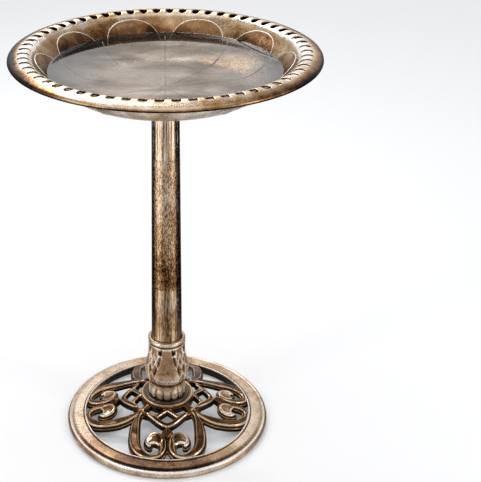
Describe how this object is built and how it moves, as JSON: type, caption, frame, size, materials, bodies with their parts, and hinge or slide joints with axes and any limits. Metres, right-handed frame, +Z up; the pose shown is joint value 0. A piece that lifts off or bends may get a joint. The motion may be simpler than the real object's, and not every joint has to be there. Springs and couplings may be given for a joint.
{
  "type": "pedestal bird bath",
  "caption": "Garden pedestal bird bath: shallow round basin with a pierced rim that unscrews from a tapered column on an openwork scroll foot with a leaf collar.",
  "frame": {"origin": "on the floor at the middle of the foot", "axes": "+Z up along the column's axis; -Y is the front, towards one of the four scroll motifs"},
  "size_m": [0.5, 0.5, 0.714],
  "materials": {
    "foot_bronze": "moulded resin with antique bronze paint: dark brown base coat, gold speckle, worn edges",
    "plate_bronze": "moulded resin, dark slate base coat with a bronze edge",
    "column_bronze": "moulded resin tube with brushed antique bronze paint",
    "basin_bronze": "moulded resin with antique bronze paint, satin",
    "plug_plastic": "black moulded plastic",
    "washer_rubber": "black rubber",
    "screw_steel": "zinc plated",
    "water": "clear still water"
  },
  "bodies": {
    "pedestal": {"base_casting": "foot_bronze", "hub_plate": "plate_bronze", "collar": "foot_bronze", "collar_screw_1": "screw_steel", "collar_screw_2": "screw_steel", "collar_screw_3": "screw_steel", "collar_screw_4": "screw_steel", "column_lower": "column_bronze", "column_middle": "column_bronze", "column_upper": "column_bronze", "column_adaptor": "plug_plastic"},
    "washer": {"seal_washer": "washer_rubber"},
    "basin": {"basin": "basin_bronze", "water": "water"}
  },
  "joints": [
    {"name": "basin_turn", "type": "hinge", "parent": "pedestal", "child": "washer", "pos_m": [0, 0, 0.645], "axis": [0, 0, 1], "range_deg": [0, 720]},
    {"name": "basin_rise", "type": "slide", "parent": "washer", "child": "basin", "axis": [0, 0, 1], "range_m": [0, 0.018]}
  ],
  "couplings": [
    {"joint": "basin_rise", "follows": "basin_turn", "m_per_rad": 0.001432}
  ]
}
